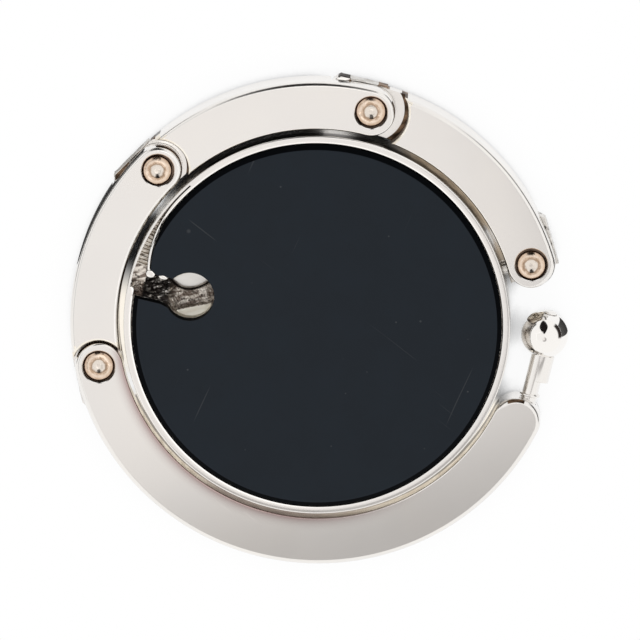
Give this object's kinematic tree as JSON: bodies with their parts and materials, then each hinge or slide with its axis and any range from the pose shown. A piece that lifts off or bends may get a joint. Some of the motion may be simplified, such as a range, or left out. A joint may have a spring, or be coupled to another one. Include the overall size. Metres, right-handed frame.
{
  "type": "purse hook",
  "caption": "Folding purse hook: a rubber-padded metal disc with a ring of riveted links that opens into a hook, and a ball tip that seats in a keyhole pocket.",
  "frame": {"origin": "on the disc's axis, on its plain front face", "axes": "+Z out of the rubber pad, along the disc's axis; the ring's swivel points outward 16.2 degrees from +X towards +Y"},
  "size_m": [0.0462, 0.0461, 0.0051],
  "materials": {
    "nickel_plate": "polished nickel plate over a zinc casting",
    "cast_nickel": "nickel plate, rough as cast inside the pocket",
    "rivet_copper": "rose copper plate, peened",
    "steel": "plain spring steel",
    "pad_rubber": "matt blue-black sheet rubber",
    "adhesive": "thin adhesive film"
  },
  "bodies": {
    "disc": {"disc_body": "cast_nickel", "rubber_pad": "pad_rubber", "pad_adhesive": "adhesive", "front_inlay": "nickel_plate", "inlay_adhesive": "adhesive"},
    "root_lug": {"root_lug": "cast_nickel", "swivel_washer": "steel", "swivel_collar": "steel"},
    "link_4": {"link_4": "nickel_plate", "rivet_4": "rivet_copper"},
    "link_3": {"link_3": "nickel_plate", "rivet_3": "rivet_copper"},
    "link_2": {"link_2": "nickel_plate", "rivet_2": "rivet_copper"},
    "link_1": {"link_1": "nickel_plate", "rivet_1": "rivet_copper", "tip_stem": "nickel_plate", "tip_ball": "nickel_plate"}
  },
  "joints": [
    {"name": "root_swivel", "type": "hinge", "parent": "disc", "child": "root_lug", "pos_m": [0, 0, 0.00153], "axis": [0.9603, 0.279, 0], "range_deg": [-90, 90]},
    {"name": "hinge_4", "type": "hinge", "parent": "root_lug", "child": "link_4", "pos_m": [0.01988, 0.00578, 0.00235], "axis": [0, 0, -1], "range_deg": [0, 8.25]},
    {"name": "hinge_3", "type": "hinge", "parent": "link_4", "child": "link_3", "pos_m": [0.00501, 0.02009, 0.00235], "axis": [0, 0, -1], "range_deg": [0, 16.5]},
    {"name": "hinge_2", "type": "hinge", "parent": "link_3", "child": "link_2", "pos_m": [-0.01471, 0.01456, 0.00235], "axis": [0, 0, -1], "range_deg": [0, 46.75]},
    {"name": "hinge_1", "type": "hinge", "parent": "link_2", "child": "link_1", "pos_m": [-0.02028, -0.00413, 0.00235], "axis": [0, 0, -1], "range_deg": [0, 55]}
  ],
  "couplings": [
    {"joint": "hinge_2", "follows": "hinge_1", "ratio": 0.85},
    {"joint": "hinge_3", "follows": "hinge_1", "ratio": 0.3},
    {"joint": "hinge_4", "follows": "hinge_1", "ratio": 0.15}
  ]
}
